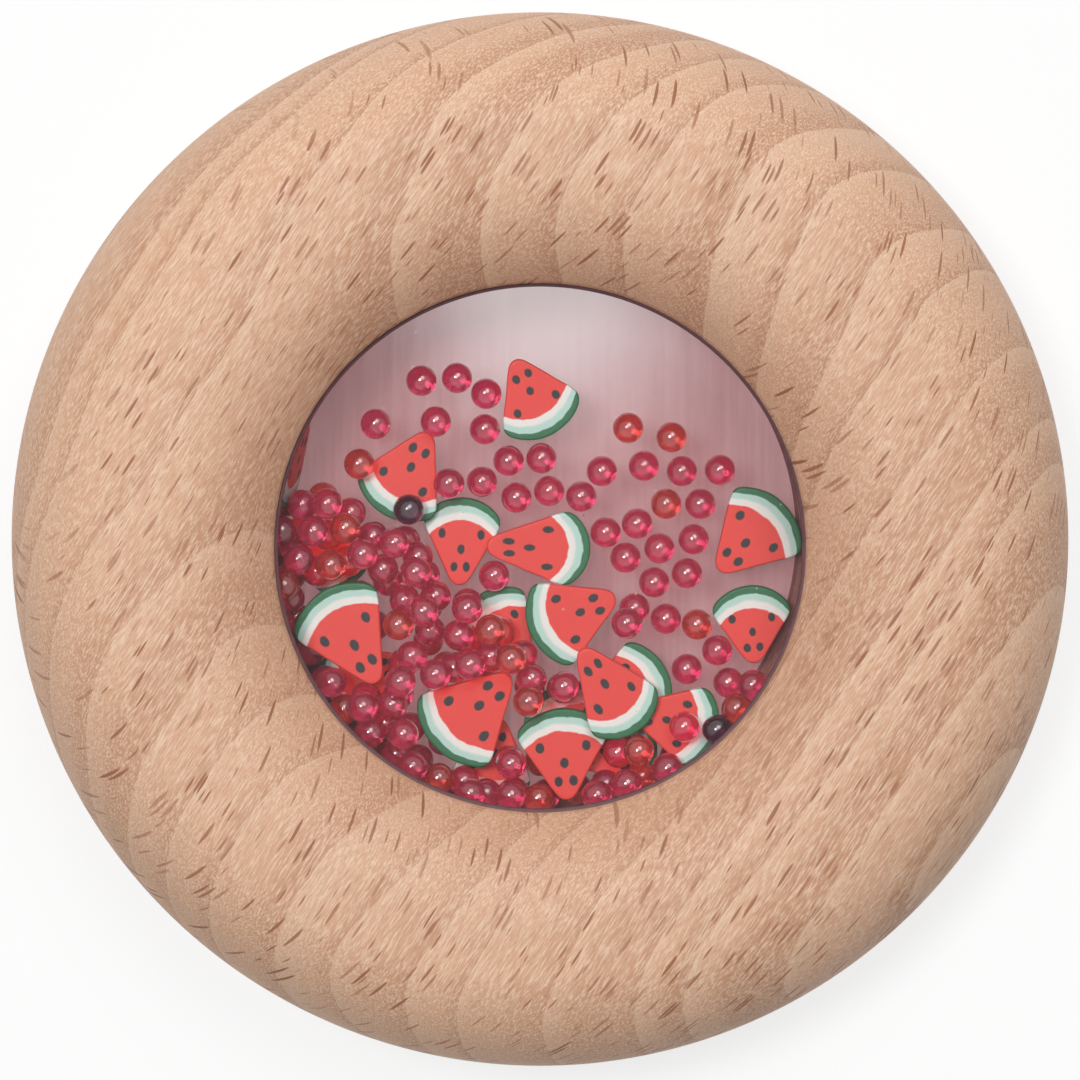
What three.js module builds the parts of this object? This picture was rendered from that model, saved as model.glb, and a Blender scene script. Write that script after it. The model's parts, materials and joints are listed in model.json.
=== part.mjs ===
// Teething ring rattle: a beech ring of two turned halves that hold a clear window each, with loose
// beads and clay watermelon slices in the chamber between them. Millimetres, +Z up, lying on its back.
import * as THREE from "three";

// Wooden ring, glued from a front and a rear half
const RING_DIAMETER = 80;
const RING_THICKNESS = 20;
const CROWN_DIAMETER = 60;
const CROWN_FLAT = 3;

// Chamber bored into the halves, and the lip of wood that keeps each window in
const CHAMBER_DIAMETER = 42;
const CHAMBER_DEPTH = 7.2;
const APERTURE_DIAMETER = 39.8;
const LIP_HEIGHT = 0.6;

// Clear windows, bonded to the inner side of the lips
const WINDOW_THICKNESS = 1.8;
const GLUE_GAP = 0.1;

// Loose fill
const BEAD_DIAMETER = 2.4;
const SLICE_LENGTH = 7;
const SLICE_WIDTH = 7;
const SLICE_THICKNESS = 0.9;
const RIND_BULGE = 1.9;
const TIP_RADIUS = 0.9;
const LEAN = THREE.MathUtils.degToRad(80);
const REST_GAP = 0.1;
const WALL_GAP = 0.2;

// Facets
const TURN_STEPS = 96;
const OUTER_STEPS = 10;
const SLOPE_STEPS = 8;
const RIND_STEPS = 8;
const TIP_STEPS = 4;

// Sizes that follow from the ones above
const halfRing = RING_THICKNESS / 2;
const crownInner = (CROWN_DIAMETER - CROWN_FLAT) / 2;
const crownOuter = (CROWN_DIAMETER + CROWN_FLAT) / 2;
const chamberRadius = CHAMBER_DIAMETER / 2;
const apertureRadius = APERTURE_DIAMETER / 2;
const windowRadius = chamberRadius - GLUE_GAP;
const lipUnderside = CHAMBER_DEPTH / 2 + WINDOW_THICKNESS;
const rimHeight = lipUnderside + LIP_HEIGHT;
const chamberFloor = halfRing - CHAMBER_DEPTH / 2;
const beadRadius = BEAD_DIAMETER / 2;

const beech = new THREE.MeshStandardMaterial({ color: 0xd9b191, roughness: 0.6, metalness: 0 });
const clearAcrylic = new THREE.MeshStandardMaterial({
  color: 0xeee4e6,
  roughness: 0.05,
  metalness: 0,
  transparent: true,
  opacity: 0.2,
});
const redPearl = new THREE.MeshStandardMaterial({ color: 0xa8163c, roughness: 0.15, metalness: 0 });
const clay = new THREE.MeshStandardMaterial({ color: 0xdc5854, roughness: 0.55, metalness: 0 });

const rattle = new THREE.Group();

function addPiece(name, geometry, material, position) {
  const mesh = new THREE.Mesh(geometry, material);
  mesh.name = name;
  mesh.position.copy(position);
  rattle.add(mesh);
}

// Turns a profile of radius and height about the ring's axis
function turned(profile) {
  return new THREE.LatheGeometry(profile, TURN_STEPS).rotateX(Math.PI / 2);
}

// Half ring, from its glue face up: round outside, a flat land on the crown, a hollowed slope to the aperture
function halfRingProfile() {
  const rimAngle = Math.asin(rimHeight / halfRing);
  const slopeReach = (crownInner - apertureRadius) / Math.cos(rimAngle);
  const outerReach = RING_DIAMETER / 2 - crownOuter;
  const outside = new THREE.EllipseCurve(crownOuter, 0, outerReach, halfRing, 0, Math.PI / 2);
  const slope = new THREE.EllipseCurve(
    crownInner,
    0,
    slopeReach,
    halfRing,
    Math.PI / 2,
    Math.PI - rimAngle,
  );
  return [
    new THREE.Vector2(chamberRadius, 0),
    ...outside.getPoints(OUTER_STEPS),
    ...slope.getPoints(SLOPE_STEPS),
    new THREE.Vector2(apertureRadius, lipUnderside),
    new THREE.Vector2(chamberRadius, lipUnderside),
    new THREE.Vector2(chamberRadius, 0),
  ];
}

const middle = new THREE.Vector3(0, 0, halfRing);
addPiece("front_half_ring", turned(halfRingProfile()), beech, middle);
addPiece("rear_half_ring", turned(halfRingProfile()).rotateX(Math.PI), beech, middle);

// Windows: plain discs, each against the lip of its half
function windowDisc() {
  const inside = CHAMBER_DEPTH / 2;
  return turned([
    new THREE.Vector2(0, inside),
    new THREE.Vector2(windowRadius, inside),
    new THREE.Vector2(windowRadius, lipUnderside),
    new THREE.Vector2(0, lipUnderside),
  ]);
}

addPiece("front_window", windowDisc(), clearAcrylic, middle);
addPiece("rear_window", windowDisc().rotateX(Math.PI), clearAcrylic, middle);

// Slice outline: a wedge with a rounded tip towards -Y and an arc of rind towards +Y. Each slice is cut by
// hand, so its length and width are shares of the usual size
function sliceOutline(long, wide) {
  const halfLength = (SLICE_LENGTH * long) / 2;
  const halfWidth = (SLICE_WIDTH * wide) / 2;
  const rindRadius = (halfWidth ** 2 + RIND_BULGE ** 2) / (2 * RIND_BULGE);
  const rindStart = Math.acos(halfWidth / rindRadius);
  const cornerY = halfLength - RIND_BULGE;
  const tipY = TIP_RADIUS - halfLength;
  const sideLean = Math.atan2(halfWidth - TIP_RADIUS, cornerY - tipY);
  const arc = (y, radius, from, to) => new THREE.EllipseCurve(0, y, radius, radius, from, to);
  const rind = arc(halfLength - rindRadius, rindRadius, rindStart, Math.PI - rindStart);
  const tip = arc(tipY, TIP_RADIUS, Math.PI + sideLean, Math.PI * 2 - sideLean);
  return [...rind.getPoints(RIND_STEPS), ...tip.getPoints(TIP_STEPS)];
}

function sliceSolid(outline) {
  return new THREE.ExtrudeGeometry(new THREE.Shape(outline), {
    depth: SLICE_THICKNESS,
    bevelEnabled: false,
  });
}

// How far a point lies outside each side of a convex outline that runs anticlockwise
function sideDistances(outline, point) {
  return outline.map((corner, i) => {
    const along = outline[(i + 1) % outline.length].clone().sub(corner).normalize();
    return point.clone().sub(corner).cross(along);
  });
}

function outsideBy(outline, point) {
  return Math.max(...sideDistances(outline, point));
}

// True where one side of the first outline has all of the second outline beyond it
function beyondASide(first, second) {
  const nearest = second
    .map((point) => sideDistances(first, point))
    .reduce((least, row) => least.map((value, i) => Math.min(value, row[i])));
  return Math.max(...nearest) > REST_GAP;
}

// How high a ball's centre sits over an edge or centre that is offset from it in plan
function rise(reach, offset) {
  return offset < reach ? Math.sqrt(reach ** 2 - Math.max(offset, 0) ** 2) : -Infinity;
}

// Shift in plan that brings the farthest of some points inside the chamber wall
function inwardShift(points) {
  const shift = new THREE.Vector2();
  for (let pass = 0; pass < 12; pass += 1) {
    const moved = points.map((point) => point.clone().add(shift));
    const farthest = moved.reduce((a, b) => (a.length() > b.length() ? a : b));
    const excess = farthest.length() - (chamberRadius - WALL_GAP);
    shift.addScaledVector(farthest.normalize(), -Math.max(excess, 0));
  }
  return shift;
}

// Pieces that already lie in the chamber
const beadsDown = [];
const slicesDown = [];
const contact = beadRadius + REST_GAP;

// Places in the chamber are given in percent of its radius, so the fill spreads with it
const spot = (x, y) => new THREE.Vector2(x, y).multiplyScalar(chamberRadius / 100);

// A bead comes to rest on the floor or on the highest piece under it
function dropBead(name, x, y) {
  const at = spot(x, y).clampLength(0, chamberRadius - beadRadius - WALL_GAP);
  const height = Math.max(
    chamberFloor + contact,
    ...beadsDown.map((bead) => bead.height + rise(BEAD_DIAMETER + REST_GAP, bead.at.distanceTo(at))),
    ...slicesDown.map((slice) => slice.top + rise(contact, outsideBy(slice.outline, at))),
  );
  beadsDown.push({ at, height });
  const ball = new THREE.IcosahedronGeometry(beadRadius, 1);
  addPiece(name, ball, redPearl, new THREE.Vector3(at.x, at.y, height));
}

// A slice comes to rest level, with its rind towards a bearing in degrees from +X
function dropSlice(name, x, y, bearing, long, wide) {
  const turn = THREE.MathUtils.degToRad(bearing - 90);
  const centre = spot(x, y);
  const placed = sliceOutline(long, wide).map((point) =>
    point.rotateAround(new THREE.Vector2(), turn).add(centre),
  );
  const shift = inwardShift(placed);
  const outline = placed.map((point) => point.add(shift));
  const under = slicesDown.filter(
    (slice) => !beyondASide(slice.outline, outline) && !beyondASide(outline, slice.outline),
  );
  const underside = Math.max(
    chamberFloor + REST_GAP,
    ...beadsDown.map((bead) => bead.height + rise(contact, outsideBy(outline, bead.at))),
    ...under.map((slice) => slice.top + REST_GAP),
  );
  slicesDown.push({ outline, top: underside + SLICE_THICKNESS });
  const solid = sliceSolid(sliceOutline(long, wide)).rotateZ(turn);
  centre.add(shift);
  addPiece(name, solid, clay, new THREE.Vector3(centre.x, centre.y, underside));
}

// One slice stands on its side on the floor and leans on the chamber wall at a bearing, rind along the wall
function leanSlice(name, bearing, wide) {
  const turn = THREE.MathUtils.degToRad(bearing);
  const solid = sliceSolid(sliceOutline(1, wide)).rotateY(-LEAN).rotateZ(turn);
  solid.computeBoundingBox();
  const wall = new THREE.Vector2(chamberRadius, 0).rotateAround(new THREE.Vector2(), turn);
  const corners = solid.getAttribute("position");
  const plan = Array.from({ length: corners.count }, (_, i) =>
    new THREE.Vector2(corners.getX(i), corners.getY(i)).add(wall),
  );
  const at = wall.add(inwardShift(plan));
  const height = chamberFloor + REST_GAP - solid.boundingBox.min.z;
  addPiece(name, solid, clay, new THREE.Vector3(at.x, at.y, height));
}

// Lowest slices, placed by eye: spot of the centre, bearing of the rind, share of the usual length and width
const BED_SLICES = [
  [11.4, -69, 115, 1, 1],
  [26.2, -76.2, 15, 1, 0.94],
  [31.4, -54.3, 25, 1, 1],
  [48.6, -65.2, -15, 1, 0.94],
  [-13.8, -34.3, 127, 0.99, 0.98],
  [-28.6, -1, 87, 0.98, 0.9],
  [-77.1, -2.9, -40, 1, 0.94],
  [-69.5, -55.2, 205, 1, 0.94],
  [-17.1, -81, 262, 0.94, 0.94],
];

// Beads under and between the slices of the pile
const BED_BEADS = [
  [-36.2, -58.1],
  [-20, -53.3],
  [-35.2, -73.3],
  [-77.1, -23.8],
  [-60, -31.4],
  [-82.9, -40],
  [-49.5, -44.8],
  [-41, -24.8],
  [-55.2, -15.2],
  [-3.8, -53.3],
];

// Slices that lie on top or by themselves
const TOP_SLICES = [
  [-0.5, -2.9, -2, 1.15, 0.86],
  [11.9, -27.1, 205, 1.03, 1.04],
  [8.6, -77.1, 94, 1.02, 1.07],
  [25.2, -53.3, -55, 1.1, 0.92],
  [-24.3, -61.9, 225, 1.15, 1.14],
  [-68.6, -34.3, 121, 1.18, 1.1],
  [-48.1, 23.8, 242, 1.04, 1.02],
  [-2.4, 51.4, -63, 0.93, 0.98],
  [76.7, 0.5, 46, 1.04, 1.07],
  [77.1, -31.4, 93, 0.87, 0.92],
];

// Beads that lie by themselves in the thin part of the fill
const LOOSE_BEADS = [
  [-42.9, 57.6],
  [-30, 58.6],
  [-19.5, 52.9],
  [-59.5, 41.9],
  [-37.6, 43.3],
  [-65.2, 28.1],
  [-11.4, 28.6],
  [0.5, 29.5],
  [-21, 21],
  [-8.6, 15.2],
  [3.3, 17.6],
  [31.9, 40.5],
  [47.6, 37.1],
  [22.4, 24.8],
  [37.6, 26.7],
  [51.4, 24.8],
  [65.2, 25.2],
  [45.7, 12.9],
  [58.1, 12.9],
  [35.2, 5.7],
  [55.7, 0],
  [43.3, -3.3],
  [31, -6.7],
  [53.3, -12.4],
  [41.4, -15.7],
  [45.7, -29],
];

// The slice that stands against the wall
const LEANING_BEARING = 163;
const LEANING_WIDTH = 0.93;

const numbered = (word, number) => `${word}_${String(number).padStart(2, "0")}`;
let sliceCount = 0;
let beadCount = 0;

function dropSlices(places) {
  for (const place of places) {
    sliceCount += 1;
    dropSlice(numbered("watermelon_slice", sliceCount), ...place);
  }
}

function dropBeads(places) {
  for (const place of places) {
    beadCount += 1;
    dropBead(numbered("bead", beadCount), ...place);
  }
}

dropSlices(BED_SLICES);
dropBeads(BED_BEADS);
dropSlices(TOP_SLICES);
dropBeads(LOOSE_BEADS);
leanSlice(numbered("watermelon_slice", sliceCount + 1), LEANING_BEARING, LEANING_WIDTH);

export default rattle;
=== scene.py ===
"""Teething ring rattle: a beech ring with two clear windows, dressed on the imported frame.

Lengths are in millimetres in this file and become metres where meshes and lamps are made.
"""

import json
import math
import random

import bmesh
import bpy
from mathutils import Matrix, Vector, noise


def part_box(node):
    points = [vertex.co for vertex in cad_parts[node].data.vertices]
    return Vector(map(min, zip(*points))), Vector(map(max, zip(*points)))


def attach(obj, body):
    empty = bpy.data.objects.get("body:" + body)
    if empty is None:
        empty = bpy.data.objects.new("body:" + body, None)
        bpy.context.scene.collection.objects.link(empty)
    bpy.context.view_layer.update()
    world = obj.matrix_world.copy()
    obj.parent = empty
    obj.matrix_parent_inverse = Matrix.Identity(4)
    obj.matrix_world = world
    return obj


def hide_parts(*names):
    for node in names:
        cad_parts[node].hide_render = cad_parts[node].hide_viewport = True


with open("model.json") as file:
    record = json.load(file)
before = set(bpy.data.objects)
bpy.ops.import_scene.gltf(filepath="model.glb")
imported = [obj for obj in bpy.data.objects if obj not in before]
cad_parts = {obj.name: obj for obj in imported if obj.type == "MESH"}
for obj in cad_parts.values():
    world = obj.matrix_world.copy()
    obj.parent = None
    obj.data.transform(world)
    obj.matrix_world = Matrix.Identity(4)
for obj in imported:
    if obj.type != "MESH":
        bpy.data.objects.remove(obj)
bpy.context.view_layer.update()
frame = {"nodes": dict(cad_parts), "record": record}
MM = 0.001
QUARTER_TURN = math.pi / 2
BODIES = frame["record"]["behaviour"]["bodies"]
NODE_BODY = {node: body for body, nodes in BODIES.items() for node in nodes}


def node_box(name):
    low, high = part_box(name)
    return low / MM, high / MM


def node_centre(name):
    low, high = node_box(name)
    return (low + high) / 2


# Sizes read from the frame
RING_LOW, RING_HIGH = node_box("rear_half_ring")[0], node_box("front_half_ring")[1]
RING_RADIUS = (RING_HIGH.x - RING_LOW.x) / 2
MIDDLE = (RING_LOW.z + RING_HIGH.z) / 2
HALF_RING = (RING_HIGH.z - RING_LOW.z) / 2
PANE_LOW, PANE_HIGH = node_box("front_window")
FLOOR_OF_CHAMBER = node_box("rear_window")[1].z
BEAD_RADIUS = (node_box("bead_01")[1].z - node_box("bead_01")[0].z) / 2

# Sizes of the ring's section that the frame holds but doesn't name
CROWN_INNER = 28.5
CROWN_OUTER = 31.5
CHAMBER_RADIUS = 21.0
APERTURE_RADIUS = 19.9
RIM_HEIGHT = 6.0
LIP_UNDERSIDE = PANE_HIGH.z - MIDDLE
TURN_STEPS = 288


# Mesh helpers

def linked_object(name, data):
    obj = bpy.data.objects.new(name, data)
    bpy.context.scene.collection.objects.link(obj)
    return obj


def mesh_object(name, points, faces, smooth=True):
    mesh = bpy.data.meshes.new(name)
    mesh.from_pydata([Vector(p) * MM for p in points], [], faces)
    mesh.update()
    if smooth:
        mesh.shade_smooth()
    return linked_object(name, mesh)


def lathe(name, profile, steps, sharp_degrees):
    """Turns a closed profile of (radius, height) about the ring's axis."""
    points = []
    faces = []
    count = len(profile)
    for i in range(steps):
        angle = 2 * math.pi * i / steps
        for radius, height in profile:
            points.append((radius * math.cos(angle), radius * math.sin(angle), height))
    for i in range(steps):
        j = (i + 1) % steps
        for k in range(count):
            m = (k + 1) % count
            faces.append((i * count + k, j * count + k, j * count + m, i * count + m))
    obj = mesh_object(name, points, faces)
    obj.data.set_sharp_from_angle(angle=math.radians(sharp_degrees))
    return obj


# Material helpers

def new_material(name):
    material = bpy.data.materials.new(name)
    material.use_nodes = True
    material.node_tree.nodes.clear()
    return material


def add(material, kind, inputs=None, **settings):
    """Adds a shader node. An input is a value, or a socket to link from."""
    node = material.node_tree.nodes.new("ShaderNode" + kind)
    for key, value in settings.items():
        setattr(node, key, value)
    for key, value in (inputs or {}).items():
        if isinstance(value, bpy.types.NodeSocket):
            material.node_tree.links.new(value, node.inputs[key])
        else:
            node.inputs[key].default_value = value
    return node


def maths(material, operation, first, second=0.0):
    return add(material, "Math", {0: first, 1: second}, operation=operation).outputs[0]


def hypotenuse(material, first, second):
    squares = [maths(material, "POWER", value, 2.0) for value in (first, second)]
    return maths(material, "SQRT", maths(material, "ADD", *squares))


def mixed(material, factor, first, second, blend="MIX"):
    node = add(material, "Mix", {0: factor, 6: first, 7: second}, data_type="RGBA", blend_type=blend)
    return node.outputs[2]


def between(material, value, low, high, start=0.0, end=1.0):
    """Smooth step of a value from low to high, given as start to end."""
    node = add(
        material,
        "MapRange",
        {"Value": value, "From Min": low, "From Max": high, "To Min": start, "To Max": end},
        interpolation_type="SMOOTHSTEP",
    )
    return node.outputs[0]


def dotted(material, vector, direction):
    node = add(material, "VectorMath", {0: vector, 1: direction}, operation="DOT_PRODUCT")
    return node.outputs["Value"]


def object_place(material):
    """The place on the object, in metres."""
    return add(material, "TexCoord").outputs["Object"]


def place_in_mm(material):
    inputs = {0: object_place(material), "Scale": 1 / MM}
    return add(material, "VectorMath", inputs, operation="SCALE").outputs[0]


def flattened(material, place):
    """The place with its height left out."""
    return add(material, "VectorMath", {0: place, 1: (1.0, 1.0, 0.0)}, operation="MULTIPLY").outputs[0]


def distance_from(material, place, spot):
    return add(material, "VectorMath", {0: place, 1: spot}, operation="DISTANCE").outputs["Value"]


def length_of(material, vector):
    return add(material, "VectorMath", {0: vector}, operation="LENGTH").outputs["Value"]


def noisy(material, vector, scale, detail, **more):
    inputs = {"Vector": vector, "Scale": scale, "Detail": detail, **more}
    return add(material, "TexNoise", inputs).outputs[0]


def swing(material, value, reach):
    """A noise value as a swing to both sides of nought."""
    return maths(material, "MULTIPLY", maths(material, "SUBTRACT", value, 0.5), reach)


def cells(material, vector, scale):
    """Distance to the nearest of scattered points, and two random values of that point."""
    node = add(material, "TexVoronoi", {"Vector": vector, "Scale": scale, "Randomness": 1.0}, feature="F1")
    pick = add(material, "SeparateColor", {0: node.outputs["Color"]})
    return node.outputs["Distance"], pick.outputs[0], pick.outputs[1]


def linear(red, green, blue):
    """Linear colour of a colour written in 0 to 255 as a screen shows it."""
    parts = []
    for value in (red, green, blue):
        share = value / 255
        parts.append(share / 12.92 if share <= 0.04045 else ((share + 0.055) / 1.055) ** 2.4)
    return (*parts, 1.0)


def output(material, shader):
    add(material, "OutputMaterial", {"Surface": shader})
    return material


# Beech: growth rings, fibre and ray flecks in one solid pattern, so they run through both halves

FIBRE = Vector((0.54, 0.84, 0.0)).normalized()
ACROSS = Vector((0.77, -0.6, 0.55))
ACROSS = (ACROSS - FIBRE * ACROSS.dot(FIBRE)).normalized()
SIDE = FIBRE.cross(ACROSS)
FLECK_THIN = Vector((0.84, -0.54, -0.62)).normalized()
FLECK_DEEP = FIBRE.cross(FLECK_THIN)
FLECK_LENGTH, FLECK_DEPTH, FLECK_THICKNESS = 3.4, 5.0, 0.34
LEAST_FLECK, MOST_FLECK = 0.1, 0.37
PITH_DISTANCE = 95.0
YEAR_SPACING = 3.9
YEAR_WAVE = 5.0
YEAR_UNEVENNESS = 5.5
CLEARER_YEARS = (0.8, 0.6, 0.0)
FIBRE_STRETCH = 0.1
WOOD = {
    "pale": linear(222, 176, 145),
    "deep": linear(214, 168, 137),
    "late": linear(188, 138, 107),
    "early": linear(229, 192, 163),
    "streak": linear(243, 212, 185),
    "grit": linear(176, 126, 95),
    "fleck": linear(154, 99, 70),
    "painted_hollow_shade": linear(168, 118, 90),
}


def growth_years(m, place, across, side):
    """Shares of late and early wood: shells about a far pith, unevenly spaced and a little wavy."""
    reach = hypotenuse(m, maths(m, "ADD", across, PITH_DISTANCE), side)
    wave = noisy(m, place, 0.045, 1.0, Roughness=0.4)
    reach = maths(m, "ADD", reach, swing(m, wave, YEAR_WAVE))
    uneven = add(m, "TexNoise", {"W": reach, "Scale": 0.21, "Detail": 1.0}, noise_dimensions="1D")
    reach = maths(m, "ADD", reach, swing(m, uneven.outputs[0], YEAR_UNEVENNESS))
    year = maths(m, "FRACT", maths(m, "DIVIDE", reach, YEAR_SPACING))
    year_end = between(m, year, 0.985, 1.0, 1.0, 0.0)
    late = maths(m, "MULTIPLY", between(m, year, 0.35, 0.97), year_end)
    early = between(m, year, 0.0, 0.3, 1.0, 0.0)
    early = maths(m, "MAXIMUM", early, maths(m, "SUBTRACT", 1.0, year_end))
    strong = between(m, dotted(m, place, CLEARER_YEARS), -30.0, 22.0, 0.75, 1.0)
    return maths(m, "MULTIPLY", late, strong), maths(m, "MULTIPLY", early, strong)


def ray_flecks(m, place, along):
    """Share of fleck: thin lenses of darker tissue, faint where one lies flat in the surface."""
    lens = add(
        m,
        "CombineXYZ",
        {
            0: maths(m, "DIVIDE", along, FLECK_LENGTH),
            1: maths(m, "DIVIDE", dotted(m, place, FLECK_DEEP), FLECK_DEPTH),
            2: maths(m, "DIVIDE", dotted(m, place, FLECK_THIN), FLECK_THICKNESS),
        },
    ).outputs[0]
    distance, size_pick, depth_pick = cells(m, lens, 1.0)
    size = between(m, size_pick, 0.0, 1.0, LEAST_FLECK, MOST_FLECK)
    fleck = between(m, maths(m, "SUBTRACT", size, distance), 0.0, 0.1)
    fleck = maths(m, "MULTIPLY", fleck, between(m, depth_pick, 0.0, 1.0, 0.5, 0.95))
    facing = maths(m, "ABSOLUTE", dotted(m, add(m, "NewGeometry").outputs["Normal"], FLECK_THIN))
    return maths(m, "MULTIPLY", fleck, between(m, facing, 0.75, 0.97, 1.0, 0.12))


def beech():
    m = new_material("beech")
    place = place_in_mm(m)
    along = dotted(m, place, FIBRE)
    across = dotted(m, place, ACROSS)
    side = dotted(m, place, SIDE)
    late, early = growth_years(m, place, across, side)
    fleck = ray_flecks(m, place, along)

    # Fibre: fine streaks along the grain, which show as specks where the grain runs out of the surface
    drawn = maths(m, "MULTIPLY", along, FIBRE_STRETCH)
    drawn = add(m, "CombineXYZ", {0: drawn, 1: across, 2: side}).outputs[0]
    streak = noisy(m, drawn, 7.5, 3.0, Roughness=0.65)
    grit = noisy(m, drawn, 14.0, 2.0, Roughness=0.6)
    cloud = noisy(m, place, 0.06, 2.0)

    colour = mixed(m, cloud, WOOD["pale"], WOOD["deep"])
    for layer, share in (
        ("late", maths(m, "MULTIPLY", late, 0.75)),
        ("early", maths(m, "MULTIPLY", early, 0.6)),
        ("streak", between(m, streak, 0.42, 0.66, 0.0, 0.75)),
        ("grit", between(m, grit, 0.5, 0.72, 0.0, 0.55)),
        ("fleck", fleck),
    ):
        colour = mixed(m, share, colour, WOOD[layer])
    # Painted shade: the wood darkens towards the window, down the inner slope of the dish
    radius = length_of(m, flattened(m, place))
    painted_hollow_shade = between(m, radius, 19.5, 27.5, 0.26, 0.0)
    colour = mixed(m, painted_hollow_shade, colour, WOOD["painted_hollow_shade"], "MULTIPLY")

    height = maths(m, "ADD", maths(m, "MULTIPLY", streak, 0.6), maths(m, "MULTIPLY", grit, 0.3))
    height = maths(m, "SUBTRACT", height, maths(m, "MULTIPLY", fleck, 0.5))
    bump = add(m, "Bump", {"Strength": 0.25, "Distance": 0.06 * MM, "Height": height})
    shader = add(
        m,
        "BsdfPrincipled",
        {
            "Base Color": colour,
            "Roughness": between(m, streak, 0.2, 0.8, 0.62, 0.5),
            "Specular IOR Level": 0.3,
            "Normal": bump.outputs[0],
        },
    )
    return output(m, shader.outputs[0])


# Clear panes: a Fresnel gloss on the outer faces of a see-through under a faint veil of painted shade, with
# fine streaks and dust.
# The painted veil and the floor's painted glow change with the distance from the bright spot at the top of the
# window.

BRIGHT_SPOT = (0.5, 19.5, 0.0)
GLOW_NEAR, GLOW_FAR = 3.0, 18.0
STREAK_STRETCH = (1.1, 0.08, 1.0)
DUST_SCALE = 0.55
MOST_DUST = 0.055


def pane_material(name, clear_tint, least_shade_veil, most_shade_veil, shade_veil_colour):
    m = new_material(name)
    place = place_in_mm(m)
    drawn = add(m, "Mapping", {"Vector": place, "Scale": STREAK_STRETCH}).outputs[0]
    streak = noisy(m, drawn, 1.0, 2.0)
    distance, size_pick, _ = cells(m, place, DUST_SCALE)
    speck = maths(m, "LESS_THAN", distance, between(m, size_pick, 0.5, 1.0, 0.0, MOST_DUST))
    away = distance_from(m, flattened(m, place), BRIGHT_SPOT)
    # Painted shade: the veil thickens with the distance from the bright spot at the top of the window
    painted_shade_film = between(m, away, GLOW_NEAR, GLOW_FAR, least_shade_veil, most_shade_veil)
    dust_and_shade_veil = maths(m, "MULTIPLY", painted_shade_film, between(m, streak, 0.3, 0.7, 0.75, 1.25))
    dust_and_shade_veil = maths(m, "ADD", dust_and_shade_veil, maths(m, "MULTIPLY", speck, 0.4))
    clear = add(m, "BsdfTransparent", {"Color": clear_tint}).outputs[0]
    dust_and_shade_sheet = add(m, "BsdfDiffuse", {"Color": shade_veil_colour}).outputs[0]
    gloss = add(m, "BsdfGlossy", {"Color": (1.0, 1.0, 1.0, 1.0), "Roughness": 0.04}).outputs[0]
    body = add(m, "MixShader", {0: dust_and_shade_veil, 1: clear, 2: dust_and_shade_sheet}).outputs[0]
    outer = maths(m, "SUBTRACT", 1.0, add(m, "NewGeometry").outputs["Backfacing"])
    shine = maths(m, "MULTIPLY", add(m, "Fresnel", {"IOR": 1.25}).outputs[0], outer)
    surface = add(m, "MixShader", {0: shine, 1: body, 2: gloss})
    return output(m, surface.outputs[0])


# Painted shade: a dark violet-brown ring that stands for the shadow in the gap between each window and the lip
def gap_shade_material():
    m = new_material("window_gap_shade")
    blot = noisy(m, object_place(m), 900.0, 2.0)
    colour = mixed(m, blot, linear(84, 56, 60), linear(112, 80, 84))
    inputs = {"Base Color": colour, "Roughness": 0.5, "Specular IOR Level": 0.2}
    return output(m, add(m, "BsdfPrincipled", inputs).outputs[0])


# Pearl beads: coloured glass under a clear coat; lamps shine through as coloured shade

CLOUD_SHADE = 0.8


def pearl(name, tint, shade):
    m = new_material(name)
    cloud = noisy(m, object_place(m), 700.0, 2.0)
    deeper = (*(CLOUD_SHADE * c for c in tint[:3]), 1.0)
    glass = add(
        m,
        "BsdfPrincipled",
        {
            "Base Color": mixed(m, between(m, cloud, 0.3, 0.7), tint, deeper),
            "Roughness": 0.03,
            "IOR": 1.52,
            "Transmission Weight": 0.72,
            "Specular IOR Level": 0.2,
            "Coat Weight": 1.0,
            "Coat Roughness": 0.03,
        },
    ).outputs[0]
    clear = add(m, "BsdfTransparent", {"Color": shade}).outputs[0]
    lamp = add(m, "LightPath").outputs["Is Shadow Ray"]
    surface = add(m, "MixShader", {0: lamp, 1: glass, 2: clear})
    return output(m, surface.outputs[0])


# Clay slices: the bands of the cane follow the rind, and five seeds lie in the flesh

SEEDS = [(-1.65, 0.6), (1.65, 0.6), (0.0, -0.6), (-0.5, -2.0), (0.55, -1.95)]
SEED_HALF_WIDTH = 0.3
SEED_HALF_LENGTH = 0.38
SEED_COLOUR = linear(18, 16, 22)
GREEN_BAND = 0.66
MINT_BAND = 1.2
WHITE_BAND = 1.75
CRISP = 0.05
MINT_BLEND = 0.16
FLESH_BLEND = 0.07
BAND_WANDER = 0.32
SEED_WANDER = 0.5


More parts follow.
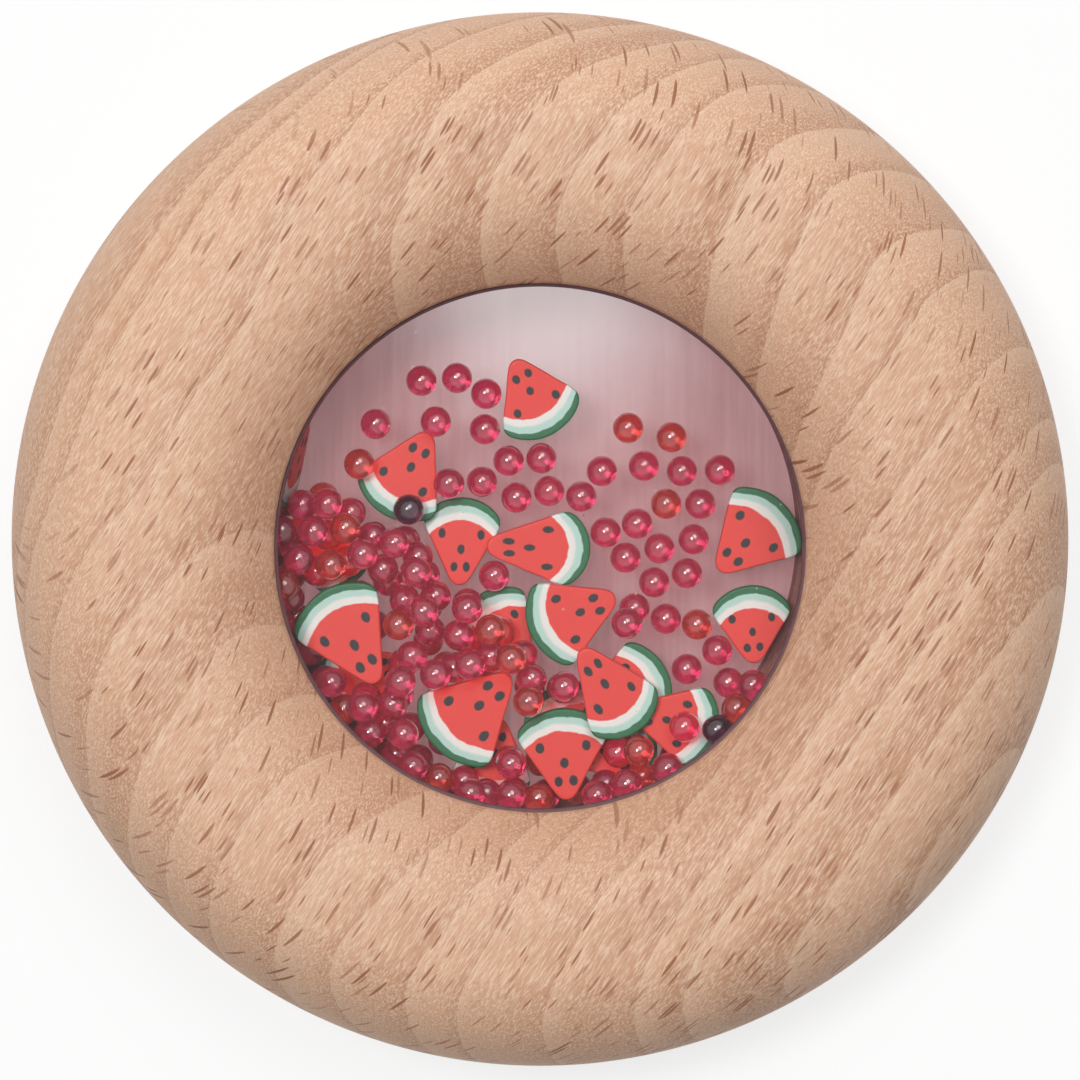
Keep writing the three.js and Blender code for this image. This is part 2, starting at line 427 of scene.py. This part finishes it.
def clay():
    m = new_material("melon_clay")
    depth = add(m, "Attribute", attribute_name="rind_depth").outputs["Fac"]
    local = add(m, "Attribute", attribute_name="cane").outputs["Vector"]
    soft = noisy(m, local, 1.1, 2.0)
    fine = noisy(m, local, 6.0, 3.0, Roughness=0.6)
    depth = maths(m, "ADD", depth, swing(m, soft, BAND_WANDER))

    flesh = mixed(m, fine, linear(238, 76, 66), linear(228, 62, 56))
    green = mixed(m, fine, linear(40, 118, 74), linear(28, 94, 60))
    mint = mixed(m, fine, linear(176, 220, 208), linear(196, 230, 220))
    white = mixed(m, fine, linear(236, 236, 230), linear(246, 246, 240))
    colour = mixed(m, between(m, depth, GREEN_BAND - CRISP, GREEN_BAND + CRISP), green, mint)
    colour = mixed(m, between(m, depth, MINT_BAND - MINT_BLEND, MINT_BAND + MINT_BLEND), colour, white)
    colour = mixed(m, between(m, depth, WHITE_BAND - CRISP, WHITE_BAND + FLESH_BLEND), colour, flesh)

    parts = add(m, "SeparateXYZ", {0: local})
    seeds = None
    for x, y in SEEDS:
        dx = maths(m, "DIVIDE", maths(m, "SUBTRACT", parts.outputs[0], x), SEED_HALF_WIDTH)
        dy = maths(m, "DIVIDE", maths(m, "SUBTRACT", parts.outputs[1], y), SEED_HALF_LENGTH)
        away = hypotenuse(m, dx, dy)
        seeds = away if seeds is None else maths(m, "MINIMUM", seeds, away)
    seeds = maths(m, "ADD", seeds, swing(m, soft, SEED_WANDER))
    colour = mixed(m, between(m, seeds, 0.85, 1.15, 1.0, 0.0), colour, SEED_COLOUR)

    bump = add(m, "Bump", {"Strength": 0.3, "Distance": 0.04 * MM, "Height": fine})
    shader = add(
        m,
        "BsdfPrincipled",
        {
            "Base Color": colour,
            "Roughness": between(m, fine, 0.3, 0.7, 0.42, 0.58),
            "Specular IOR Level": 0.4,
            "Subsurface Weight": 0.1,
            "Subsurface Radius": (1.0, 0.5, 0.4),
            "Subsurface Scale": 0.3 * MM,
            "Normal": bump.outputs[0],
        },
    )
    return output(m, shader.outputs[0])


BEECH = beech()
PANES = {
    "front_window": pane_material(
        "front_pane",
        clear_tint=(0.985, 0.975, 0.975, 1.0),
        least_shade_veil=0.004,
        most_shade_veil=0.012,
        shade_veil_colour=(0.7, 0.6, 0.62, 1.0),
    ),
    # The rear pane's pink see-through tint is painted pink light, and its thicker pink veil is painted pink
    # shade
    "rear_window": pane_material(
        "rear_pane",
        clear_tint=(0.965, 0.905, 0.91, 1.0),
        least_shade_veil=0.03,
        most_shade_veil=0.22,
        shade_veil_colour=(0.46, 0.19, 0.2, 1.0),
    ),
}
GAP_SHADE = gap_shade_material()
CLAY = clay()
PEARLS = {
    "crimson": pearl("crimson_pearl", (0.6, 0.042, 0.13, 1.0), (0.72, 0.2, 0.27, 1.0)),
    "orange": pearl("orange_pearl", (0.6, 0.06, 0.055, 1.0), (0.76, 0.26, 0.22, 1.0)),
    "plum": pearl("plum_pearl", (0.09, 0.01, 0.05, 1.0), (0.4, 0.12, 0.2, 1.0)),
}


# Ring halves

SEAM_GROOVE = 0.09
OUTER_STEPS = 28
CROWN_STEPS = 7
SLOPE_STEPS = 26
RING_SHARP_DEGREES = 40


def half_ring(name, node, up):
    """The same section as the CAD half, finely turned, with a hairline groove at the glue seam."""
    rim_angle = math.asin(RIM_HEIGHT / HALF_RING)
    slope_reach = (CROWN_INNER - APERTURE_RADIUS) / math.cos(rim_angle)
    outer_reach = RING_RADIUS - CROWN_OUTER
    profile = [(CHAMBER_RADIUS, 0.0), (RING_RADIUS - SEAM_GROOVE, 0.0)]
    for i in range(1, OUTER_STEPS + 1):
        angle = QUARTER_TURN * i / OUTER_STEPS
        profile.append((CROWN_OUTER + outer_reach * math.cos(angle), HALF_RING * math.sin(angle)))
    for i in range(1, CROWN_STEPS):
        profile.append((CROWN_OUTER + (CROWN_INNER - CROWN_OUTER) * i / CROWN_STEPS, HALF_RING))
    for i in range(SLOPE_STEPS + 1):
        angle = QUARTER_TURN - (QUARTER_TURN - rim_angle) * i / SLOPE_STEPS
        profile.append((CROWN_INNER - slope_reach * math.cos(angle), HALF_RING * math.sin(angle)))
    profile.append((APERTURE_RADIUS, LIP_UNDERSIDE))
    profile.append((CHAMBER_RADIUS, LIP_UNDERSIDE))
    if not up:
        profile = [(radius, -height) for radius, height in reversed(profile)]
    profile = [(radius, MIDDLE + height) for radius, height in profile]
    obj = lathe(name, profile, TURN_STEPS, RING_SHARP_DEGREES)
    obj.data.materials.append(BEECH)
    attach(obj, "casing")
    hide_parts(node)


half_ring("front_beech_half", "front_half_ring", True)
half_ring("rear_beech_half", "rear_half_ring", False)


# Windows keep their CAD discs, with a dark ring of painted shade for the gap where they meet the lip

for pane, material in PANES.items():
    disc = frame["nodes"][pane]
    disc.data.materials.clear()
    disc.data.materials.append(material)

GAP_SHADE_WIDTH = 0.28
GAP_SHADE_HEIGHT = 0.18
GAP_SHADE_LIFT = 0.01
GAP_SHADE_STEPS = 6
GAP_SHADE_SHARP_DEGREES = 60


def gap_shade_ring(name, height, outward):
    profile = [(APERTURE_RADIUS, height)]
    for i in range(GAP_SHADE_STEPS, -1, -1):
        angle = QUARTER_TURN * i / GAP_SHADE_STEPS
        radius = APERTURE_RADIUS - GAP_SHADE_WIDTH * math.cos(angle)
        profile.append((radius, height + outward * GAP_SHADE_HEIGHT * math.sin(angle)))
    if outward < 0:
        profile.reverse()
    obj = lathe(name, profile, TURN_STEPS, GAP_SHADE_SHARP_DEGREES)
    obj.data.materials.append(GAP_SHADE)
    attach(obj, "casing")


gap_shade_ring("front_window_gap_shade", MIDDLE + LIP_UNDERSIDE + GAP_SHADE_LIFT, 1)
gap_shade_ring("rear_window_gap_shade", MIDDLE - LIP_UNDERSIDE - GAP_SHADE_LIFT, -1)


# Clay slices: bearing of the rind and shares of the usual length and width, as on the CAD nodes

SLICE_SIZE = 7.0
SLICE_THICKNESS = 0.9
RIND_BULGE = 1.9
TIP_RADIUS = 0.9
LEAN = math.radians(80)
SLICES = [
    (115, 1, 1),
    (15, 1, 0.94),
    (25, 1, 1),
    (-15, 1, 0.94),
    (127, 0.99, 0.98),
    (87, 0.98, 0.9),
    (-40, 1, 0.94),
    (205, 1, 0.94),
    (262, 0.94, 0.94),
    (-2, 1.15, 0.86),
    (205, 1.03, 1.04),
    (94, 1.02, 1.07),
    (-55, 1.1, 0.92),
    (225, 1.15, 1.14),
    (121, 1.18, 1.1),
    (242, 1.04, 1.02),
    (-63, 0.93, 0.98),
    (46, 1.04, 1.07),
    (93, 0.87, 0.92),
]
LEANING = (163, 1, 0.93)

# Finish of a slice's edge, and the rings of its faces as shares of the way from the middle to the edge
CORNER_PASSES = 6
EDGE_ROUND = 0.14
EDGE_STEPS = 4
EDGE_WOBBLE = 0.05
WOBBLE_SCALE = 0.6
WOBBLE_APART = 7.3
FACE_SHARES = (0.16, 0.34, 0.52, 0.68, 0.82, 0.92)

# The rind's bands lie between rings round its arc and plain copies of it moved down
ROUND_SHARE = 0.25
CANE_APART = 11.0


def slice_name(number):
    return f"watermelon_slice_{number:02d}"


def slice_outline(long, wide, rind_steps=30, tip_steps=12, side_steps=14):
    """Closed plan outline, rind towards +Y, and the centre and radius of the rind's arc."""
    half_length = SLICE_SIZE * long / 2
    half_width = SLICE_SIZE * wide / 2
    radius = (half_width**2 + RIND_BULGE**2) / (2 * RIND_BULGE)
    start = math.acos(half_width / radius)
    centre_y = half_length - radius
    tip_y = TIP_RADIUS - half_length
    lean = math.atan2(half_width - TIP_RADIUS, half_length - RIND_BULGE - tip_y)
    points = []
    for i in range(rind_steps + 1):
        angle = start + (math.pi - 2 * start) * i / rind_steps
        points.append(Vector((radius * math.cos(angle), centre_y + radius * math.sin(angle))))
    tip = []
    for i in range(tip_steps + 1):
        angle = math.pi + lean + (math.pi - 2 * lean) * i / tip_steps
        tip.append(Vector((TIP_RADIUS * math.cos(angle), tip_y + TIP_RADIUS * math.sin(angle))))
    left = [points[-1].lerp(tip[0], i / side_steps) for i in range(1, side_steps)]
    right = [tip[-1].lerp(points[0], i / side_steps) for i in range(1, side_steps)]
    return points + left + tip + right, centre_y, radius


def rounded_corners(outline, passes):
    """Softens the two corners of the rind without moving the rest outward."""
    points = [p.copy() for p in outline]
    count = len(points)
    for _ in range(passes):
        points = [
            points[i] * 0.5 + (points[i - 1] + points[(i + 1) % count]) * 0.25 for i in range(count)
        ]
    return points


def slice_mesh(number, long, wide):
    """A slice on its back at the origin: rounded edge, slightly uneven sides, in rings from the middle out."""
    plain, centre_y, radius = slice_outline(long, wide)
    outline = rounded_corners(plain, CORNER_PASSES)
    count = len(outline)
    centre = sum(outline, Vector((0, 0))) / count
    edge = []
    for point in outline:
        spot = Vector((point.x * WOBBLE_SCALE, point.y * WOBBLE_SCALE, number * WOBBLE_APART))
        inward = EDGE_WOBBLE + EDGE_WOBBLE * noise.noise(spot)
        edge.append(point + (centre - point).normalized() * inward)

    def ring(share, height, pull=0.0):
        made = []
        for point in edge:
            spot = centre + (point - centre) * share
            spot += (centre - spot).normalized() * pull
            made.append((spot.x, spot.y, height))
        return made

    angles = [QUARTER_TURN * i / EDGE_STEPS for i in range(EDGE_STEPS + 1)]
    rounding = [(EDGE_ROUND * (1 - math.cos(a)), EDGE_ROUND * (1 - math.sin(a))) for a in angles]
    rings = [ring(share, 0.0) for share in FACE_SHARES]
    rings += [ring(1.0, height, pull) for height, pull in rounding]
    rings += [ring(1.0, SLICE_THICKNESS - height, pull) for height, pull in reversed(rounding)]
    rings += [ring(share, SLICE_THICKNESS) for share in reversed(FACE_SHARES)]
    points = [p for made in rings for p in made]
    faces = []
    for r in range(len(rings) - 1):
        for i in range(count):
            j = (i + 1) % count
            faces.append((r * count + i, r * count + j, (r + 1) * count + j, (r + 1) * count + i))
    low = len(points)
    points.append((centre.x, centre.y, 0.0))
    points.append((centre.x, centre.y, SLICE_THICKNESS))
    last = (len(rings) - 1) * count
    for i in range(count):
        j = (i + 1) % count
        faces.append((low, j, i))
        faces.append((low + 1, last + i, last + j))
    return points, faces, centre_y, radius


def clay_slice(number, bearing, long, wide, leaning=False):
    node = slice_name(number)
    points, faces, centre_y, radius = slice_mesh(number, long, wide)
    obj = mesh_object(f"clay_slice_{number:02d}", points, faces)
    depth = obj.data.attributes.new("rind_depth", "FLOAT", "POINT")
    cane = obj.data.attributes.new("cane", "FLOAT_VECTOR", "POINT")
    for i, (x, y, z) in enumerate(points):
        round_depth = radius - math.hypot(x, max(y - centre_y, 0.0))
        down_depth = centre_y + math.sqrt(max(radius**2 - x**2, 0.0)) - y
        depth.data[i].value = ROUND_SHARE * round_depth + (1 - ROUND_SHARE) * down_depth
        cane.data[i].vector = (x / wide, y / long, z + number * CANE_APART)
    if leaning:
        turn = Matrix.Rotation(math.radians(bearing), 4, "Z") @ Matrix.Rotation(-LEAN, 4, "Y")
    else:
        turn = Matrix.Rotation(math.radians(bearing - 90), 4, "Z")
    plain = slice_outline(long, wide)[0]
    corners = [turn @ Vector((p.x, p.y, z)) for p in plain for z in (0.0, SLICE_THICKNESS)]
    low, high = node_box(node)
    shift = Vector([
        (low[k] + high[k]) / 2 - (min(c[k] for c in corners) + max(c[k] for c in corners)) / 2
        for k in range(3)
    ])
    obj.data.transform(Matrix.Translation(shift * MM) @ turn)
    obj.data.materials.append(CLAY)
    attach(obj, NODE_BODY[node])
    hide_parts(node)


for index, (bearing, long, wide) in enumerate(SLICES):
    clay_slice(index + 1, bearing, long, wide)
clay_slice(len(SLICES) + 1, *LEANING, leaning=True)


# Beads: the CAD beads as smooth pearls, and the rest of the fill dropped among them

BEAD_SUBDIVISIONS = 3
BEAD_FULLNESS = 0.992
BEAD_FLATNESS = 0.006
FLASH_HEIGHT = 0.006
FLASH_WIDTH = 0.03


def bead_mesh(name, centre, seed):
    """A moulded ball: slightly out of round, with a faint flash line round its middle."""
    bm = bmesh.new()
    bmesh.ops.create_icosphere(bm, subdivisions=BEAD_SUBDIVISIONS, radius=1.0)
    draw = random.Random(seed)
    axis = Vector((draw.uniform(-1, 1), draw.uniform(-1, 1), draw.uniform(-1, 1))).normalized()
    for vert in bm.verts:
        way = vert.co.normalized()
        height = way.dot(axis)
        flash = FLASH_HEIGHT * math.exp(-((height / FLASH_WIDTH) ** 2))
        size = BEAD_FULLNESS - BEAD_FLATNESS * height**2 + flash
        vert.co = (centre + way * size * BEAD_RADIUS) * MM
    mesh = bpy.data.meshes.new(name)
    bm.to_mesh(mesh)
    bm.free()
    mesh.shade_smooth()
    return linked_object(name, mesh)


def add_bead(number, centre, body, kind, node=None):
    obj = bead_mesh(f"pearl_{number:03d}", centre, number)
    obj.data.materials.append(PEARLS[kind])
    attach(obj, body)
    if node:
        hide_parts(node)


CAD_BEADS = 36
ORANGE_CAD_BEADS = {16, 22, 23, 28}
DOWN = []
for number in range(1, CAD_BEADS + 1):
    node = f"bead_{number:02d}"
    kind = "orange" if number in ORANGE_CAD_BEADS else "crimson"
    add_bead(number, node_centre(node), NODE_BODY[node], kind, node)
    DOWN.append((node_centre(node), NODE_BODY[node]))


# Slices that no further bead lies on
BARE_SLICES = {slice_name(number) for number in (3, 6, 10, 12)}
NOWHERE = -1e9
TOUCH = 1e-6


def place_slice(node, bearing, long, wide):
    """Plan outline of a flat slice and the heights of its faces, as the CAD node lies."""
    turn = Matrix.Rotation(math.radians(bearing - 90), 2)
    plan = [turn @ p for p in slice_outline(long, wide, 8, 4, 2)[0]]
    low, high = node_box(node)
    shift = Vector([
        (low[k] + high[k] - min(p[k] for p in plan) - max(p[k] for p in plan)) / 2
        for k in range(2)
    ])
    return [p + shift for p in plan], low.z, high.z, NODE_BODY[node], node in BARE_SLICES


def outside_by(outline, spot):
    """How far a spot lies outside a convex outline that runs anticlockwise."""
    most = NOWHERE
    for i, corner in enumerate(outline):
        along = outline[(i + 1) % len(outline)] - corner
        if along.length > TOUCH:
            way = spot - corner
            most = max(most, (way.x * along.y - way.y * along.x) / along.length)
    return most


def rise(reach, offset):
    return math.sqrt(reach**2 - max(offset, 0.0) ** 2) if offset < reach else NOWHERE


# Beads may lie on the bed, and on the one loose slice that carries beads; other loose pieces keep room to hop
REST_GAP = 0.02
PANE_GAP = 0.1
TRAY_SLACK = 0.05
WALL_GAP = 0.15
BED = "fill_bed"
TRAY_NODE = slice_name(16)
TRAY = f"loose_{TRAY_NODE}"
CARRIERS = (BED, TRAY)
HIGHEST = {
    BED: PANE_LOW.z - BEAD_RADIUS - PANE_GAP,
    TRAY: node_box(TRAY_NODE)[1].z + BEAD_RADIUS + TRAY_SLACK,
}
LIES = [place_slice(slice_name(i + 1), *row) for i, row in enumerate(SLICES)]


def resting(spot, deep):
    """Height of a bead's centre over a spot and the body under it, on top or as deep as it goes, or None."""
    reach = 2 * BEAD_RADIUS + REST_GAP
    contact = BEAD_RADIUS + REST_GAP
    near = []
    for centre, under in DOWN:
        half = rise(reach, (centre.xy - spot).length)
        if half > 0:
            if under not in CARRIERS:
                return None
            near.append((centre.z - half, centre.z + half, under, True))
    for outline, low, top, under, bare in LIES:
        half = rise(contact, outside_by(outline, spot))
        if half > 0:
            near.append((low - half, top + half, under, under in CARRIERS and not bare))
    places = [(FLOOR_OF_CHAMBER + contact, BED, True)] + [(up, body, ok) for _, up, body, ok in near]
    for height, body, ok in sorted(places) if deep else [max(places)]:
        free = all(not down + TOUCH < height < up - TOUCH for down, up, _, _ in near)
        below = [(under, carries) for _, up, under, carries in near if up <= height + TOUCH]
        above = [under for down, _, under, _ in near if down >= height - TOUCH]
        rides = all(carries and under in (BED, body) for under, carries in below)
        hops = body == BED or BED not in above
        if free and ok and rides and hops and height < HIGHEST[body]:
            return height, body
    return None


SEARCH_STEP = 0.22
SEARCH_STEPS = range(-5, 6)
STRAY_COST = 0.9


def drop_bead(number, x, y, kind, deep=False):
    """A bead settles near its spot where it lies lowest, and moves with what it lies on."""
    limit = CHAMBER_RADIUS - BEAD_RADIUS - WALL_GAP
    best = None
    for i in SEARCH_STEPS:
        for j in SEARCH_STEPS:
            spot = Vector((x + SEARCH_STEP * i, y + SEARCH_STEP * j))
            found = resting(spot, deep) if spot.length < limit else None
            if found:
                score = found[0] + STRAY_COST * math.hypot(SEARCH_STEP * i, SEARCH_STEP * j)
                if best is None or score < best[0]:
                    best = (score, spot, *found)
    if best is None:
        return False
    _, spot, height, body = best
    centre = Vector((spot.x, spot.y, height))
    DOWN.append((centre, body))
    add_bead(number, centre, body, kind)
    return True


# Beads in sight, each at about its place in the photograph
POURED = [
    (-4.2, 8.4), (-6.7, 4.4), (2.7, 2.6), (13.5, -3.9), (7.2, -5.3), (12.2, -6.1), (13.3, -8.3),
    (9.2, -8.6), (5.7, -7.1), (4.4, -2.9), (3.9, 0.3), (0.6, 1.5), (-1.9, 0.8), (-3.5, -2.1),
    (-16.5, 3.2), (-14.6, 2.3), (-18.9, 2.0), (-19.1, -0.2), (-19.0, -2.8), (-15.9, 0.4),
    (-12.9, 0.3), (-10.5, 0.1), (-8.4, -0.3), (-9.3, 2.0), (-14.6, -1.6), (-16.5, -3.2),
    (-11.9, -2.1), (-9.4, -2.1), (-13.7, -4.0), (-10.5, -3.4), (-11.6, -5.1), (-8.8, -4.6),
    (-6.4, -4.6), (-9.2, -6.9), (-5.5, -7.6), (-3.0, -7.0), (-1.3, -7.9), (-3.5, -9.4),
    (-1.1, -10.6), (-9.7, -8.6), (-7.8, -9.1), (-11.3, -7.9), (-5.6, -9.8), (1.0, -11.5),
    (-8.8, -11.0), (-11.0, -10.7), (-1.1, -13.0), (-16.8, -10.3), (-12.4, -12.0), (-10.6, -12.8),
    (-12.9, -14.4), (-14.0, -13.4), (-9.3, -16.9), (-10.7, -15.4), (-5.8, -18.2), (-2.0, -19.3),
    (0.3, -19.8), (-2.1, -15.1), (-3.0, -17.1), (-4.1, -19.2), (5.7, -8.7), (2.7, -10.7),
    (5.0, -18.6), (7.7, -18.2), (4.1, -19.8), (11.2, -10.4), (13.5, -11.0), (16.0, -11.0),
    (14.5, -13.1), (10.7, -13.9), (13.0, -14.8), (9.9, -17.1), (8.8, -13.8), (-18.8, -5.2),
    (2.7, -18.5),
]
PLUM_SPOTS = {(-9.3, 2.0), (13.0, -14.8)}
POURED_PER_ORANGE = 5

# The pile under them is filled from a close-packed grid, within the part of the chamber where it is deep
PILE_PER_ORANGE = 4
PILE_STEP = 2.2
PILE_ROW = 0.87 * PILE_STEP
PILE_RADIUS = 20.5
SLOPE_TOP, SLOPE_START, SLOPE_FALL = 1.5, -12.0, 0.9
PILE_BOTTOM = -16.0
PILE_LEFT, PILE_LEFT_TOP = -14.0, 3.0


def in_pile(x, y):
    """The part of the chamber where the fill lies more than one deep."""
    under_slope = y < SLOPE_TOP - SLOPE_FALL * max(x - SLOPE_START, 0.0)
    at_left = x < PILE_LEFT and y < PILE_LEFT_TOP
    return math.hypot(x, y) < PILE_RADIUS and (under_slope or y < PILE_BOTTOM or at_left)


def red_kind(count, per_orange):
    return "orange" if count % per_orange == 0 else "crimson"


bead_count = CAD_BEADS
for x, y in POURED:
    kind = "plum" if (x, y) in PLUM_SPOTS else red_kind(bead_count, POURED_PER_ORANGE)
    bead_count += drop_bead(bead_count + 1, x, y, kind)
for row in range(-10, 3):
    for column in range(-10, 8):
        x, y = PILE_STEP * (column + 0.5 * (row % 2)), PILE_ROW * row
        if in_pile(x, y):
            kind = red_kind(bead_count, PILE_PER_ORANGE)
            bead_count += drop_bead(bead_count + 1, x, y, kind, True)


# Stage: pale floor, soft lamps and a camera over the ring, a little towards its top

def seen_rays(tree):
    """1 for rays that show the background: from the camera, or by way of gloss or glass."""
    path = add(tree, "LightPath")
    seen = maths(tree, "MAXIMUM", path.outputs["Is Camera Ray"], path.outputs["Is Glossy Ray"])
    return maths(tree, "MAXIMUM", seen, path.outputs["Is Transmission Ray"])


FLOOR_HALF = 1500.0
FLOOR_CORNERS = [(-1, -1), (1, -1), (1, 1), (-1, 1)]
FLOOR_COLOUR = (0.97, 0.97, 0.97, 1.0)
BACKGROUND_SHARE = 0.8
BACKGROUND_START, BACKGROUND_FULL = 26.0, 34.0
WHITE = (1.0, 1.0, 1.0, 1.0)
PAINTED_PINK_GLOW = (0.9, 0.55, 0.57, 1.0)


def floor_material():
    """White round the ring, and through the windows painted light that turns to painted pink shade away from
    the bright spot.
    """
    m = new_material("pale_floor")
    seen = seen_rays(m)
    place = object_place(m)
    away = distance_from(m, place, tuple(MM * c for c in BRIGHT_SPOT))
    # Painted light: under the windows the floor glows, most near the bright spot
    painted_glow_inside = between(m, away, GLOW_NEAR * MM, GLOW_FAR * MM, 0.64, 0.42)
    outside = between(m, length_of(m, place), BACKGROUND_START * MM, BACKGROUND_FULL * MM)
    share = maths(m, "MAXIMUM", maths(m, "MULTIPLY", outside, BACKGROUND_SHARE), painted_glow_inside)
    cover = add(m, "BsdfDiffuse", {"Color": FLOOR_COLOUR}).outputs[0]
    # Painted pink shade: the glow turns pink away from the bright spot
    painted_pink_glow = between(m, away, GLOW_NEAR * MM, GLOW_FAR * MM)
    painted_pink_glow = maths(m, "MULTIPLY", painted_pink_glow, maths(m, "SUBTRACT", 1.0, outside))
    white = add(m, "Emission", {"Color": mixed(m, painted_pink_glow, WHITE, PAINTED_PINK_GLOW), "Strength": 1.0}).outputs[0]
    surface = add(m, "MixShader", {0: maths(m, "MULTIPLY", seen, share), 1: cover, 2: white})
    return output(m, surface.outputs[0])


floor_points = [(FLOOR_HALF * x, FLOOR_HALF * y, 0) for x, y in FLOOR_CORNERS]
floor = mesh_object("floor", floor_points, [(0, 1, 2, 3)], smooth=False)
floor.data.materials.append(floor_material())

LAMP_TARGET = Vector((0.0, 0.0, 10.0))


def softbox(name, direction, distance, size, watts):
    lamp = bpy.data.lights.new(name, "AREA")
    lamp.shape = "DISK"
    lamp.size = size * MM
    lamp.energy = watts
    obj = linked_object(name, lamp)
    way = Vector(direction).normalized()
    obj.location = (LAMP_TARGET + way * distance) * MM
    obj.rotation_euler = (-way).to_track_quat("-Z", "Y").to_euler()


softbox("key_softbox", direction=(-0.23, 0.2, 0.94), distance=900, size=210, watts=4.0)
softbox("top_softbox", direction=(0.13, 0.46, 0.87), distance=1100, size=600, watts=5.4)

# The world lights faintly and shows white
WORLD_FILL = 0.1
world = bpy.data.worlds.new("studio")
world.use_nodes = True
background = world.node_tree.nodes["Background"]
background.inputs["Color"].default_value = WHITE
world_strength = between(world, seen_rays(world), 0.0, 1.0, WORLD_FILL, 1.0)
world.node_tree.links.new(world_strength, background.inputs["Strength"])
bpy.context.scene.world = world

CAMERA_DISTANCE = 450.0
CAMERA_TILT = math.radians(5.2)
FRAME_WIDTH = 81.85
FRAME_RISE = 0.15
SENSOR_WIDTH = 36.0
camera = bpy.data.cameras.new("camera")
camera.sensor_width = SENSOR_WIDTH
camera.lens = SENSOR_WIDTH * CAMERA_DISTANCE / FRAME_WIDTH
camera.clip_start = 0.01
camera_object = linked_object("camera", camera)
away = Vector((0.0, math.sin(CAMERA_TILT), math.cos(CAMERA_TILT)))
camera_object.location = (Vector((0.0, FRAME_RISE, MIDDLE)) + away * CAMERA_DISTANCE) * MM
right = Vector((1.0, 0.0, 0.0))
upward = away.cross(right)
camera_object.rotation_euler = Matrix((right, upward, away)).transposed().to_euler()
bpy.context.scene.camera = camera_object

bpy.context.scene.view_settings.view_transform = "Standard"
